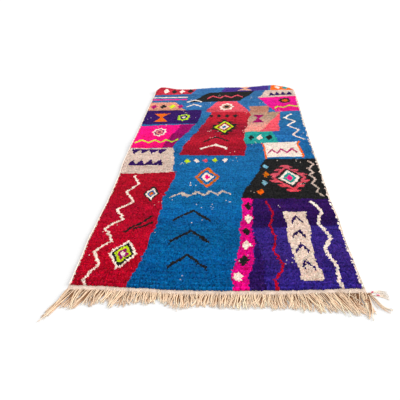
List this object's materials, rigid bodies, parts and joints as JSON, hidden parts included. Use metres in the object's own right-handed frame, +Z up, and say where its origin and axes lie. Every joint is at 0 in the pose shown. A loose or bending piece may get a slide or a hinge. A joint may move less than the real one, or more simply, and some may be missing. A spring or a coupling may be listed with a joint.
{
  "type": "rug",
  "caption": "Hand-knotted wool pile rug lying flat, with corded sides, a flat-woven band and a combed fringe at one end, and a knotted corner tassel.",
  "frame": {"origin": "on the floor under the middle of the pile", "axes": "+Z up from the floor, +Y along the length of the rug away from the fringe, +X across it"},
  "size_m": [1.6765, 3.1431, 0.0378],
  "materials": {
    "pile_wool": "matt wool pile",
    "left_cord_wool": "matt wrapped wool",
    "right_cord_wool": "matt wrapped wool",
    "band_wool": "matt flat-woven wool",
    "fringe_wool": "matt plied wool",
    "knot_wool": "matt plied wool"
  },
  "bodies": {
    "root": {"pile_field": "pile_wool", "side_cord_left": "left_cord_wool", "side_cord_right": "right_cord_wool", "end_band": "band_wool", "fringe": "fringe_wool", "corner_knot": "knot_wool"}
  },
  "joints": []
}
